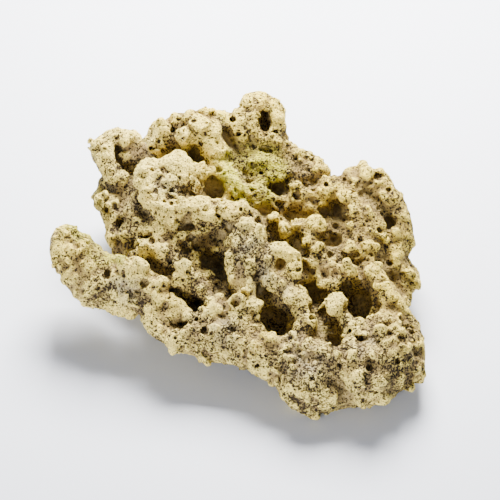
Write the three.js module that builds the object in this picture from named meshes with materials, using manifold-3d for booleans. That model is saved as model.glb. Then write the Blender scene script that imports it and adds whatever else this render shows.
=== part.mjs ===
// An aquarium reef rock: one boulder of dead, bored reef limestone, about 30 cm long.
// It is a low slab that rises to the back. A thick rolled lip runs along its front, a knobbly
// serpentine ridge crosses the middle, an arm reaches out to the left, a fan of blunt fingers
// stands at the back left and a small slotted peak at the back. Between the ridges lie caves
// that fish can hide in, and smaller hollows open in its sides. It stands on worn feet.
//
// Units are millimetres, +X to the right, +Y to the back, +Z up. The origin is the centre of
// the bounding box at its base.
//
// The rock is a distance field: lumps and ridges are joined with fillets, caves are cut out,
// and the surface of the field is meshed. Most forms are laid out on an oblique drawing of the
// rock, as it looks from the front and 45 degrees above: across and up are millimetres on that
// drawing, and height is above the mean surface, a plane that rises to the back.

import * as THREE from "three";
import Module from "manifold-3d";
import { ImprovedNoise } from "three/addons/math/ImprovedNoise.js";
import { SimplifyModifier } from "three/addons/modifiers/SimplifyModifier.js";
import { mergeVertices } from "three/addons/utils/BufferGeometryUtils.js";

// ---------------------------------------------------------------- driving dimensions

const MIDDLE_HEIGHT = 65; // of the mean surface, over the middle of the drawing
const RISE = 0.32; // of the mean surface, in millimetres per millimetre to the back
const SLAB_DEPTH = 5; // of the slab's top below the mean surface
const BELLY_HEIGHT = 12; // of the slab's underside above the floor
const SLAB_ROUNDING = 20; // of the slab's rim
const RIM_POINTS = 72; // along the slab's rim, once it is rounded
const FILLET = 5; // where lumps meet
const CAVE_FILLET = 3; // at a cave's mouth
const FOOT_FILLET = 12; // where a foot meets the belly
const WARP = 3; // how far weathering pushes the forms sideways
const WARP_SCALE = 24; // across one such push
const WARP_SHIFTS = [7.3, 3.1]; // between the pushes along the axes, so that they differ
const ROUGHNESS = 2.4; // height of the weathered relief
const ROUGHNESS_SCALE = 12; // across one swell of that relief
const CELL = 4; // of the grid that the field is meshed on
const TRIANGLES = 9600; // that the finished surface keeps
const PINCH_FILL = 0.05; // share of a cell that a filled corner reaches into the air
const GRID_LOW = [-176, -144, -16]; // corner of the meshed region
const GRID_HIGH = [156, 148, 140];
const FLOOR_BLOCK = 600; // edge of the block that keeps what stands above the floor

// ---------------------------------------------------------------- layout

// The slab's rim from above, as [x, y], counter-clockwise from the front.
const SLAB_RIM = [
  [38, -104], [72, -102], [104, -84], [118, -50], [112, -12], [112, 28],
  [92, 58], [58, 66], [34, 84], [8, 104], [-28, 98], [-66, 92],
  [-88, 74], [-88, 40], [-84, 6], [-74, -28], [-40, -58], [0, -82],
];

// Ridges and lobes as chains of [across, up, height, radius].
const RIDGES = {
  arm: [[-147, 3, -10, 16], [-139, -8, -12, 19], [-122, -25, -12, 21], [-102, -33, -10, 17]],
  frontLip: [
    [-102, -33, -10, 17], [-82, -40, -8, 11], [-70, -58, -8, 13], [-54, -68, -8, 14],
    [-34, -69, -8, 15], [-14, -73, -8, 17], [6, -79, -8, 19], [24, -87, -8, 21],
  ],
  frontLobe: [[30, -86, -6, 18], [42, -98, -8, 25], [56, -107, -10, 22]],
  rightBlock: [[82, -84, -6, 20], [90, -98, -8, 27], [106, -86, -8, 26], [104, -74, -6, 18]],
  lobeBridge: [[54, -90, 0, 16], [70, -94, -2, 18], [84, -92, 0, 17]],
  lobeApron: [[50, -104, -10, 18], [67, -107, -11, 18], [84, -105, -10, 19]],
  blockCrest: [[82, -64, 0, 9], [94, -68, 0, 11], [110, -66, -4, 13]],
  rightFlank: [[124, -92, -16, 15], [127, -76, -16, 15], [124, -62, -18, 10]],
  rightShoulder: [[97, -20, -4, 7], [106, -29, -3, 8], [112, -40, -4, 9], [118, -52, -8, 9]],
  whiteCrest: [[-84, 62, 10, 8], [-80, 52, 10, 9], [-76, 42, 9, 10], [-70, 30, 8, 12], [-64, 20, 5, 10]],
  crestDome: [[-59, 65, 9, 15], [-62, 50, 6, 15]],
  crestRight: [[-48, 62, 8, 10], [-46, 50, 6, 9], [-50, 42, 6, 9]],
  crestSide: [[-80, 62, 6, 11], [-74, 54, 6, 12]],
  serpent: [
    [-66, 31, 7, 11], [-52, 33, 9, 11], [-38, 32, 11, 11], [-24, 30, 11, 11], [-11, 27, 11, 12],
    [-2, 18, 10, 13], [1, 5, 9, 14], [1, -8, 7, 13], [-2, -20, 4, 9],
  ],
  serpentHeart: [[-4, 17, -2, 7], [0, 8, -2, 7]],
  jamb: [[-12, 6, 5, 9], [-14, -6, 4, 7], [-14, -20, 4, 7], [-10, -30, 1, 6]],
  kneeToLip: [[-2, -22, 4, 8], [-3, -36, 4, 8], [-6, -48, 2, 10], [-10, -60, 0, 10]],
  greyFold: [[16, -24, 5, 8], [26, -32, 5, 9], [36, -38, 4, 9], [42, -48, 2, 8], [44, -60, 0, 9]],
  innerSlope: [[-78, 14, -2, 10], [-66, 4, -2, 10], [-64, -12, -3, 10]],
  saddleFoot: [[-80, -10, -6, 8], [-68, -19, -4, 9]],
  whiteSaddle: [[-92, -4, -2, 5], [-84, 1, 3, 7], [-74, 0, 4, 8], [-67, -4, 1, 6]],
  coneApron: [[-46, -30, -4, 9], [-37, -34, -4, 7], [-31, -40, -2, 5]],
  lipKnobs: [[-72, -34, 1, 8], [-66, -42, 1, 8], [-57, -48, 1, 8]],
  slotSill: [[-30, -52, 2, 9], [-28, -44, 4, 8], [-22, -40, 3, 5]],
  longFinger: [[-117, 80, -24, 13], [-111, 68, -26, 12], [-104, 55, -28, 10], [-98, 44, -28, 8]],
  upperFinger: [[-107, 89, -22, 9], [-100, 86, -22, 12], [-91, 77, -24, 10]],
  lowFinger: [[-115, 38, -28, 9], [-111, 24, -31, 7], [-107, 9, -32, 7]],
  thinFinger: [[-104, 27, -18, 4], [-101, 16, -20, 6], [-97, 10, -18, 8]],
  sideTerrace: [[-94, 30, -12, 9], [-90, 22, -8, 9], [-84, 14, -6, 9]],
  backKnobs: [[-75, 96, 4, 9], [-74, 86, 0, 9]],
  backCrest: [[-60, 101, 2, 10], [-46, 97, 5, 13], [-36, 95, 8, 13], [-29, 84, 5, 10], [-28, 72, 2, 8]],
  backHeart: [[-46, 88, 2, 11], [-60, 88, -2, 10], [-38, 82, 0, 9]],
  backSaddle: [[-36, 104, -2, 10], [-14, 99, -4, 13], [2, 96, -2, 13]],
  peakLeft: [[0, 98, 1, 11], [0, 110, 4, 10], [6, 119, 6, 10]],
  peakRight: [[6, 119, 6, 10], [18, 114, 5, 9], [21, 103, 2, 7], [18, 92, -2, 9]],
  plateauEdge: [[24, 78, -12, 11], [38, 71, -14, 10], [54, 64, -13, 10]],
  plateau: [[4, 70, -24, 20], [28, 66, -27, 21], [46, 57, -26, 20]],
  rightSaddle: [[64, 52, -4, 7], [74, 48, -2, 8], [84, 40, -5, 10]],
  rightMound: [[80, 58, -9, 8], [93, 57, -7, 11], [105, 52, -9, 12], [112, 38, -12, 13]],
  rightBrow: [[116, 26, -16, 13], [119, 10, -20, 13], [112, -2, -18, 14]],
  rightFace: [[90, 28, -12, 16], [98, 10, -14, 18], [92, -6, -12, 15]],
  stubbyTips: [[114, -14, -18, 9], [125, -19, -25, 8], [131, -27, -29, 7]],
  stubbyFoot: [[116, -36, -26, 8], [121, -31, -28, 8]],
};

// Single knobs as [across, up, height, radius].
const KNOBS = [
  // on the root of the arm and along the inner side of the lip
  [-92, -18, 5, 12], [-106, -11, -2, 6], [-76, -26, 0, 7], [-88, -34, -1, 8],
  [-40, -56, 0, 8], [-34, -83, -12, 6], [-60, -72, -2, 8], [-20, -66, 0, 9], [10, -68, 0, 8],
  // around the front caves
  [107, -56, -2, 7], [34, -76, 0, 9], [52, -80, -2, 10],
  [62, -48, -4, 6], [80, -98, 8, 10], [100, -104, 4, 12], [58, -92, 2, 12],
  // on the back half
  [52, 18, 2, 9], [40, 18, -1, 6], [28, 14, -2, 7], [20, 24, -3, 5], [52, 2, 0, 7],
  [45, 10, -2, 6], [62, -10, -8, 12], [66, -28, -8, 9], [48, -12, -2, 10],
  [-51, 91, 12, 8], [10, 74, -4, 8], [-22, 62, 0, 9], [-42, 60, 2, 10], [-42, 48, 0, 10],
  [-14, 48, -4, 9], [8, 44, -6, 9], [40, 44, -7, 9], [58, 40, -8, 8], [128, 4, -22, 6],
  [126, 27, -20, 4], [-22, 76, -2, 9], [22, 88, -8, 8],
];

// Caves, pits and troughs as chains of [across, up, height, radius], cut out of the rock.
const CAVES = {
  mainCave: [[-36, -5, 12, 9], [-32, -12, 4, 12], [-30, -13, -12, 13]],
  caveBand: [[-27, -12, 8, 7], [-22, -21, 5, 8], [-18, -31, 2, 6]],
  caveFloor: [[-33, -20, 8, 9], [-26, -27, -4, 10]],
  caveRoof: [[-46, 3, 8, 8], [-37, 4, 4, 10], [-28, 3, 3, 7]],
  caveTail: [[-25, -28, 7, 7], [-18, -35, 3, 7], [-12, -41, -1, 6]],
  conePit: [[-43, -38, 10, 7], [-43, -40, -2, 8], [-43, -41, -13, 8]],
  conePitTail: [[-44, -46, 6, 5], [-41, -52, 2, 4]],
  lipSlits: [[-63, -59, 3, 5], [-50, -59, 2, 5], [-40, -60, 1, 6]],
  keyhole: [[16, -46, 8, 6], [18, -54, 4, 8], [20, -63, 0, 8], [18, -56, -12, 10]],
  keyholeFoot: [[20, -64, 4, 5], [27, -71, 2, 3]],
  keyholeNeck: [[5, -30, 6, 4], [9, -38, 3, 5], [15, -46, 2, 7]],
  ringHole: [[24, -12, 14, 6], [24, -13, 2, 7], [22, -12, -6, 6]],
  ringMoat: [[40, -10, 4, 5], [45, -20, 0, 6], [48, -28, -2, 7]],
  innerCave: [[50, -38, 8, 7], [56, -30, 2, 8], [52, -35, -8, 9], [52, -33, -14, 8]],
  trough: [[54, -46, 2, 8], [58, -57, -2, 8], [64, -68, -4, 7], [69, -76, -5, 7]],
  rightCave: [[80, -33, 6, 7], [87, -43, 2, 10], [92, -50, 0, 8]],
  rightCaveDepth: [[84, -40, 2, 9], [86, -43, -11, 11]],
  troughPit: [[69, -75, 6, 5], [69, -76, -8, 5]],
  valleyPit: [[68, 21, 1, 5], [68, 9, -3, 6], [68, 7, -10, 5]],
  valley: [[62, 30, -4, 5], [70, 31, -6, 5]],
  brownHollow: [[5, 31, 1, 7], [16, 33, -5, 7], [30, 31, -5, 7], [40, 27, -8, 7]],
  plateauPit: [[21, 51, 3, 5], [28, 50, 3, 5], [24, 50, -9, 6]],
  peakSlot: [[11, 112, 15, 5], [12, 102, 9, 5], [12, 106, 4, 6]],
  crestPit: [[-31, 51, 9, 4], [-29, 44, 1, 6], [-29, 45, -5, 5]],
  crestGap: [[-66, 81, 4, 4], [-52, 77, 6, 5], [-40, 73, 0, 5]],
  backPit: [[-47, 77, 9, 4], [-44, 74, -1, 5]],
  fingerGap: [[-86, 80, 2, 5], [-91, 67, -5, 7], [-94, 54, -11, 7], [-97, 42, -15, 6]],
  fingerSplit: [[-113, 88, -19, 3], [-108, 76, -17, 4], [-103, 63, -20, 5]],
  bayGap: [[-106, 42, -10, 5], [-104, 32, -18, 6], [-104, 20, -20, 5]],
  slopeCrevice: [[-96, 0, -9, 4], [-87, 5, -3, 5], [-78, 10, 2, 4]],
  underSaddle: [[-92, -10, 2, 4], [-80, -12, 3, 5], [-67, -16, 3, 5]],
  rimHole: [[114, 23, 0, 5], [113, 21, -9, 4]],
  moundPit: [[104, 60, 0, 3], [103, 59, -8, 4]],
};

// The rock's bulk behind and below the fingers, as [x, y, z, radius].
const BULK = [
  [-98, 96, 48, 21], [-98, 62, 40, 20], [-60, 98, 64, 28], [-26, 100, 66, 27], [12, 96, 64, 28],
  [-72, 50, 52, 30], [-82, 20, 38, 24], [-40, 40, 50, 34], [-112, 84, 40, 14], [-80, 112, 36, 16],
  [-40, 116, 40, 18], [4, 114, 46, 17], [36, 92, 40, 16], [60, 76, 34, 15], [92, 66, 30, 14],
  [120, 40, 34, 13], [124, 6, 30, 13], [118, -30, 28, 13], [-100, 30, 24, 13],
];

// Forms that stand in the mouths of the caves, as chains of [across, up, height, radius].
const OVERHANGS = {
  ringRim: [
    [14, -8, 11, 6], [20, 0, 13, 6], [29, -1, 13, 6], [35, -9, 12, 6], [34, -19, 10, 6], [25, -25, 9, 6],
    [16, -19, 10, 6], [14, -8, 11, 6],
  ],
  cone: [[-49, -29, -3, 11], [-51, -22, 5, 8], [-51, -15, 11, 6]],
  whiteKnob: [[76, -58, 0, 6], [72, -51, 5, 6], [68, -43, 10, 8]],
  smallWhiteKnob: [[80, -20, -2, 5], [79, -15, 4, 6]],
  caveLedge: [[-56, 14, 4, 4], [-42, 16, 5, 4], [-28, 16, 4, 4]],
  caveBoulder: [[-37, -19, -20, 8], [-32, -28, -18, 8]],
};

// Hollows in the sides and the back, as chains of [x, y, z, radius].
const SIDE_HOLLOWS = {
  backCave: [[-22, 140, 46, 10], [-20, 116, 48, 10], [-16, 104, 52, 7]],
  backLowCave: [[22, 132, 22, 9], [20, 108, 28, 9]],
  backPocket: [[-66, 136, 44, 7], [-64, 116, 50, 6]],
  shoulderPocket: [[66, 104, 48, 7], [60, 84, 50, 6]],
  sidePocket: [[-132, 66, 30, 8], [-112, 64, 34, 8], [-98, 62, 38, 5]],
  rightPocket: [[150, 22, 34, 8], [128, 20, 38, 7], [116, 18, 42, 5]],
  rightLowPocket: [[150, -34, 20, 8], [124, -36, 26, 7]],
  lipPocket: [[-60, -112, 34, 8], [-58, -88, 44, 7]],
};

// Feet as [x, y, z, radius], and the undercuts between them.
const FEET = [
  [48, -104, 20, 25], [98, -88, 17, 23], [-66, 66, 16, 25], [76, 44, 15, 24], [-66, 4, 15, 21],
];
const UNDERCUTS = [
  [-112, -74, -16, 62], [0, 128, -34, 52], [148, 12, -26, 48], [4, -28, -38, 50], [-126, 60, -6, 40],
];

// ---------------------------------------------------------------- field

const weathering = new ImprovedNoise();

/** The point of the rock that the drawing shows at (across, up), at a height over the mean surface. */
function onDrawing(across, up, height) {
  const y = (up * Math.SQRT2 - height) / (1 + RISE);
  return new THREE.Vector3(across, y, MIDDLE_HEIGHT + RISE * y + height);
}

/** A chain of beads, each with its radius, from points on the drawing. */
function chainOf(points) {
  return points.map(([across, up, height, radius]) => ({ at: onDrawing(across, up, height), radius }));
}

/** A chain of beads given straight in the part's own axes. */
function beadsOf(points) {
  return points.map(([x, y, z, radius]) => ({ at: new THREE.Vector3(x, y, z), radius }));
}

/** Distance from a point to the skin of a chain, whose radius changes evenly from bead to bead. */
function chainDistance(p, chain) {
  const { at: first, radius } = chain[0];
  let nearest = p.distanceTo(first) - radius;
  for (let i = 1; i < chain.length; i++) {
    const a = chain[i - 1];
    const b = chain[i];
    const dx = b.at.x - a.at.x;
    const dy = b.at.y - a.at.y;
    const dz = b.at.z - a.at.z;
    const along = (p.x - a.at.x) * dx + (p.y - a.at.y) * dy + (p.z - a.at.z) * dz;
    const t = THREE.MathUtils.clamp(along / (dx * dx + dy * dy + dz * dz), 0, 1);
    const gap = Math.hypot(p.x - a.at.x - t * dx, p.y - a.at.y - t * dy, p.z - a.at.z - t * dz);
    nearest = Math.min(nearest, gap - THREE.MathUtils.lerp(a.radius, b.radius, t));
  }
  return nearest;
}

/** The smaller of two distances, rounded over a fillet. */
function join(a, b, fillet) {
  const overlap = Math.max(fillet - Math.abs(a - b), 0) / fillet;
  return Math.min(a, b) - (overlap * overlap * fillet) / 4;
}

/** The first solid without the second, rounded over a fillet. */
function cut(solid, tool, fillet) {
  return -join(-solid, tool, fillet);
}

/** Signed distance from (x, y) to the slab's rim, negative inside. */
function rimDistance(x, y, rim) {
  let nearest = Infinity;
  let inside = false;
  for (let i = 0, j = rim.length - 1; i < rim.length; j = i++) {
    const a = rim[j];
    const b = rim[i];
    const ex = b.x - a.x;
    const ey = b.y - a.y;
    const t = THREE.MathUtils.clamp(((x - a.x) * ex + (y - a.y) * ey) / (ex * ex + ey * ey), 0, 1);
    nearest = Math.min(nearest, Math.hypot(x - a.x - t * ex, y - a.y - t * ey));
    if (a.y > y !== b.y > y && x < a.x + ((y - a.y) / ey) * ex) inside = !inside;
  }
  return inside ? -nearest : nearest;
}

const rimCurve = new THREE.CatmullRomCurve3(
  SLAB_RIM.map(([x, y]) => new THREE.Vector3(x, y, 0)),
  true,
);
const rim = rimCurve.getSpacedPoints(RIM_POINTS).slice(1);
const lumps = [...Object.values(RIDGES).map(chainOf), ...KNOBS.map((knob) => chainOf([knob]))];
const overhangs = Object.values(OVERHANGS).map(chainOf);
const caves = [...Object.values(CAVES).map(chainOf), ...Object.values(SIDE_HOLLOWS).map(beadsOf)];
const bulk = BULK.map((bead) => beadsOf([bead]));
const feet = FEET.map((bead) => beadsOf([bead]));
const undercuts = UNDERCUTS.map((bead) => beadsOf([bead]));

/** A point pushed aside by the weathering, so that no form stays a plain tube or ball. */
function warped(p) {
  const x = p.x / WARP_SCALE;
  const y = p.y / WARP_SCALE;
  const z = p.z / WARP_SCALE;
  const [shiftY, shiftZ] = WARP_SHIFTS;
  return new THREE.Vector3(
    p.x + WARP * weathering.noise(x, y, z),
    p.y + WARP * weathering.noise(y, z, x + shiftY),
    p.z + WARP * weathering.noise(z + shiftZ, x, y),
  );
}

/** The rock's distance field: negative in the stone, zero on its surface. */
function rockField(point) {
  const p = warped(point);
  const top = p.z - (MIDDLE_HEIGHT + RISE * p.y - SLAB_DEPTH);
  let d = rimDistance(p.x, p.y, rim);
  d = cut(d, -top, SLAB_ROUNDING);
  d = cut(d, p.z - BELLY_HEIGHT, SLAB_ROUNDING);
  for (const undercut of undercuts) d = cut(d, chainDistance(p, undercut), FOOT_FILLET);
  for (const bead of bulk) d = join(d, chainDistance(p, bead), FOOT_FILLET);
  for (const foot of feet) d = join(d, chainDistance(p, foot), FOOT_FILLET);
  for (const lump of lumps) d = join(d, chainDistance(p, lump), FILLET);
  for (const cave of caves) d = cut(d, chainDistance(p, cave), CAVE_FILLET);
  for (const form of overhangs) d = join(d, chainDistance(p, form), CAVE_FILLET);
  const s = 1 / ROUGHNESS_SCALE;
  return d - ROUGHNESS * weathering.noise(p.x * s, p.y * s, p.z * s);
}

// ---------------------------------------------------------------- surface

/** The field's values at the grid's points, and the index of the point (i, j, k) among them. */
function sampleField(field, low, counts) {
  const [nx, ny, nz] = counts;
  const values = new Float32Array(nx * ny * nz);
  const at = (i, j, k) => i + nx * (j + ny * k);
  const p = new THREE.Vector3();
  for (let k = 0; k < nz; k++)
    for (let j = 0; j < ny; j++)
      for (let i = 0; i < nx; i++) {
        p.set(low.x + i * CELL, low.y + j * CELL, low.z + k * CELL);
        values[at(i, j, k)] = field(p);
      }
  return { values, at };
}

// A cell's corners are numbered by bits: 1 for +x, 2 for +y, 4 for +z.
const CORNERS = [0, 1, 2, 3, 4, 5, 6, 7];
const FACES = [
  [0, 1, 3, 2], [4, 5, 7, 6], [0, 1, 5, 4], [2, 3, 7, 6], [0, 2, 6, 4], [1, 3, 7, 5],
];

/** Whether the corners on one side of the surface form one group along the cell's edges. */
function connected(corners) {
  const seen = new Set(corners.slice(0, 1));
  for (let grew = true; grew; ) {
    grew = false;
    for (const c of corners)
      if (!seen.has(c) && [1, 2, 4].some((bit) => seen.has(c ^ bit))) {
        seen.add(c);
        grew = true;
      }
  }
  return seen.size === corners.length;
}

/** Fills the corners that would make two sheets of the surface meet in one cell. */
function closePinches({ values, at }, counts) {
  const [nx, ny, nz] = counts;
  const filled = -PINCH_FILL * CELL;
  for (let changed = true; changed; ) {
    changed = false;
    for (let k = 0; k < nz - 1; k++)
      for (let j = 0; j < ny - 1; j++)
        for (let i = 0; i < nx - 1; i++) {
          const index = CORNERS.map((c) => at(i + (c & 1), j + ((c >> 1) & 1), k + (c >> 2)));
          const stone = CORNERS.filter((c) => values[index[c]] < 0);
          if (stone.length < 2 || stone.length > CORNERS.length - 2) continue; // a lone corner can't pinch
          const air = CORNERS.filter((c) => values[index[c]] >= 0);
          const crossed = FACES.some((f) => {
            const s = f.map((c) => values[index[c]] < 0);
            return s[0] === s[2] && s[1] === s[3] && s[0] !== s[1];
          });
          if (!crossed && connected(stone) && connected(air)) continue;
          const weakest = air.reduce((a, b) => (values[index[a]] < values[index[b]] ? a : b));
          values[index[weakest]] = filled;
          changed = true;
        }
  }
}

/** A closed mesh of the field's surface: one vertex in each cell that it crosses. */
function meshField(field, low, high) {
  const counts = ["x", "y", "z"].map((axis) => Math.ceil((high[axis] - low[axis]) / CELL) + 1);
  const grid = sampleField(field, low, counts);
  closePinches(grid, counts);
  const { values, at } = grid;
  const [nx, ny, nz] = counts;
  const vertexOf = new Int32Array(values.length).fill(-1);
  const positions = [];
  const edges = CORNERS.flatMap((c) => [1, 2, 4].filter((bit) => !(c & bit)).map((bit) => [c, c | bit]));
  for (let k = 0; k < nz - 1; k++)
    for (let j = 0; j < ny - 1; j++)
      for (let i = 0; i < nx - 1; i++) {
        const v = CORNERS.map((c) => values[at(i + (c & 1), j + ((c >> 1) & 1), k + (c >> 2))]);
        const sum = new THREE.Vector3();
        let crossings = 0;
        for (const [a, b] of edges) {
          if (v[a] < 0 === v[b] < 0) continue;
          const t = v[a] / (v[a] - v[b]);
          sum.x += THREE.MathUtils.lerp(a & 1, b & 1, t);
          sum.y += THREE.MathUtils.lerp((a >> 1) & 1, (b >> 1) & 1, t);
          sum.z += THREE.MathUtils.lerp(a >> 2, b >> 2, t);
          crossings++;
        }
        if (!crossings) continue;
        vertexOf[at(i, j, k)] = positions.length / 3;
        sum.divideScalar(crossings);
        positions.push(low.x + (i + sum.x) * CELL, low.y + (j + sum.y) * CELL, low.z + (k + sum.z) * CELL);
      }
  const steps = [[1, 0, 0], [0, 1, 0], [0, 0, 1]];
  const index = [];
  for (let k = 1; k < nz - 1; k++)
    for (let j = 1; j < ny - 1; j++)
      for (let i = 1; i < nx - 1; i++)
        steps.forEach(([di, dj, dk], axis) => {
          const here = values[at(i, j, k)] < 0;
          if (here === values[at(i + di, j + dj, k + dk)] < 0) return;
          const u = steps[(axis + 1) % 3];
          const w = steps[(axis + 2) % 3];
          const cell = (a, b) =>
            vertexOf[at(i - a * u[0] - b * w[0], j - a * u[1] - b * w[1], k - a * u[2] - b * w[2])];
          const quad = [cell(1, 1), cell(0, 1), cell(0, 0), cell(1, 0)];
          if (!here) quad.reverse();
          index.push(quad[0], quad[1], quad[2], quad[0], quad[2], quad[3]);
        });
  const geometry = new THREE.BufferGeometry();
  geometry.setAttribute("position", new THREE.Float32BufferAttribute(positions, 3));
  geometry.setIndex(index);
  return geometry;
}

// ---------------------------------------------------------------- solid

const wasm = await Module();
wasm.setup();

/** A closed, indexed geometry as a solid. */
function solidOf(geometry) {
  return new wasm.Manifold(
    new wasm.Mesh({
      numProp: 3,
      vertProperties: new Float32Array(geometry.attributes.position.array),
      triVerts: new Uint32Array(geometry.index.array),
    }),
  );
}

/** A solid's surface as a geometry. */
function geometryOf(solid) {
  const mesh = solid.getMesh();
  const geometry = new THREE.BufferGeometry();
  geometry.setAttribute("position", new THREE.BufferAttribute(mesh.vertProperties, 3));
  geometry.setIndex(new THREE.BufferAttribute(mesh.triVerts, 1));
  return geometry;
}

/** The half space above the floor, as a block larger than the rock. */
function aboveFloor(size) {
  const block = new THREE.BoxGeometry(size, size, size).translate(0, 0, size / 2);
  block.deleteAttribute("normal");
  block.deleteAttribute("uv");
  return solidOf(mergeVertices(block));
}

const fine = meshField(rockField, new THREE.Vector3(...GRID_LOW), new THREE.Vector3(...GRID_HIGH));
const surplus = fine.attributes.position.count - TRIANGLES / 2;
const thinned = await new SimplifyModifier().modify(fine, surplus);
const rock = geometryOf(solidOf(thinned).intersect(aboveFloor(FLOOR_BLOCK)));
rock.computeBoundingBox();
const middle = rock.boundingBox.getCenter(new THREE.Vector3());
rock.translate(-middle.x, -middle.y, 0);
rock.computeVertexNormals();

const limestone = new THREE.MeshStandardMaterial({ color: 0xc9b58a, roughness: 0.93, metalness: 0 });
const reefRock = new THREE.Mesh(rock, limestone);
reefRock.name = "reef_rock";

const group = new THREE.Group();
group.add(reefRock);

export default group;
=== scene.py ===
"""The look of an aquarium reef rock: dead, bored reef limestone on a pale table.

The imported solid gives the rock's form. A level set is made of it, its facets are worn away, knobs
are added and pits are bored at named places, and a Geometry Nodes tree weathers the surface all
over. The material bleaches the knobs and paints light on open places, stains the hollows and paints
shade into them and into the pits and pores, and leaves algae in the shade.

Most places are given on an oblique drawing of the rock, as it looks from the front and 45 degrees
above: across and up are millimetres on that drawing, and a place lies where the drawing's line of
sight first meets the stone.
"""

from __future__ import annotations

import logging
import math
from dataclasses import dataclass, field, fields
from enum import Enum
from functools import partialmethod, reduce

import bpy
import numpy as np
import openvdb
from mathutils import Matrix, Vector


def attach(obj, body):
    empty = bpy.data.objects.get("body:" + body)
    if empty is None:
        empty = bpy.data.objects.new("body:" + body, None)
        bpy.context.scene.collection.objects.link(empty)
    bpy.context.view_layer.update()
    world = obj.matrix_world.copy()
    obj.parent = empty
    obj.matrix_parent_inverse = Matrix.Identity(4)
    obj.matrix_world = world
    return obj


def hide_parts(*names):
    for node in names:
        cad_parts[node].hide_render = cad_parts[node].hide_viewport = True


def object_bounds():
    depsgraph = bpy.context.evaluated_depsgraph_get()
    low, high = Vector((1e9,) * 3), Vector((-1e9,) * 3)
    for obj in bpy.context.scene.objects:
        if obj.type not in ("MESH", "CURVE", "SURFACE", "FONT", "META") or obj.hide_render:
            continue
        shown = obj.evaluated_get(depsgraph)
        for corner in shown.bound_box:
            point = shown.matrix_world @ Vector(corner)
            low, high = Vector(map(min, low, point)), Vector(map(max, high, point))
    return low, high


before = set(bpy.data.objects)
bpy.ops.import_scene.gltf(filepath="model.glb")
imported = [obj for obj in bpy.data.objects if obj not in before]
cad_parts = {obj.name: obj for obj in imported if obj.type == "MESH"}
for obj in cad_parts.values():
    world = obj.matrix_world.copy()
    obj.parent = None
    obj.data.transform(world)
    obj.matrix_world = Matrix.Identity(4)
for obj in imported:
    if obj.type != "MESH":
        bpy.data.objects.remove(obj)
CAD_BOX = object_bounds()

log = logging.getLogger("reef_rock")

MM = 0.001
Color = tuple[float, float, float, float]
Row = tuple[float, ...]
Socket = bpy.types.NodeSocket


# ---------------- drawing


@dataclass(frozen=True)
class Drawing:
    """The oblique drawing that places are given on, in millimetres.

    Attributes:
        middle: The rock's own origin, in the drawing's axes.
        height: Height of the drawing's middle over the floor.
        rise: How much the mean surface rises for each millimetre to the back.
        near: Height over the mean surface where a line of sight starts.
        far: Height where it ends.
        step: Difference in height between its points.
    """

    middle: tuple[float, float] = (-10.95, 1.70)
    height: float = 65.0
    rise: float = 0.32
    near: float = 70.0
    far: float = -110.0
    step: float = 0.5

    def line(self, across: float, up: float) -> np.ndarray:
        """Gives the line of sight through a place on the drawing.

        Args:
            across: Millimetres to the right of the drawing's middle.
            up: Millimetres above the drawing's middle.

        Returns:
            Its points in the rock's axes, the nearest first, one in each row.
        """
        above = np.arange(self.near, self.far, -self.step)
        back = (up * math.sqrt(2.0) - above) / (1.0 + self.rise)
        right = np.full_like(above, across - self.middle[0])
        return np.column_stack((right, back - self.middle[1], self.height + self.rise * back + above))

    @property
    def sight(self) -> np.ndarray:
        """The direction of sight, away from the viewer."""
        return np.array([0.0, 1.0, -1.0]) / math.sqrt(2.0)


# ---------------- layout


class Mask(Enum):
    """Attributes that the material reads, each named for what it marks."""

    ALGAE = "algae"
    ASH = "ash"
    # Bleached knobs, and painted light on places that the lamps leave darker.
    BLEACH = "bleach"
    FILM = "film"
    # Rust stains, and painted shade on places that lie in shadow.
    RUST = "rust"
    # The next five measure how closed in, sunk or proud a place is; the material lays painted shade and
    # light by them.
    SHELTER = "shelter"
    HOLLOW = "hollow"
    SUNK = "sunk"
    FINE = "fine_relief"
    BROAD = "broad_relief"
    PIT = "pit"


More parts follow.
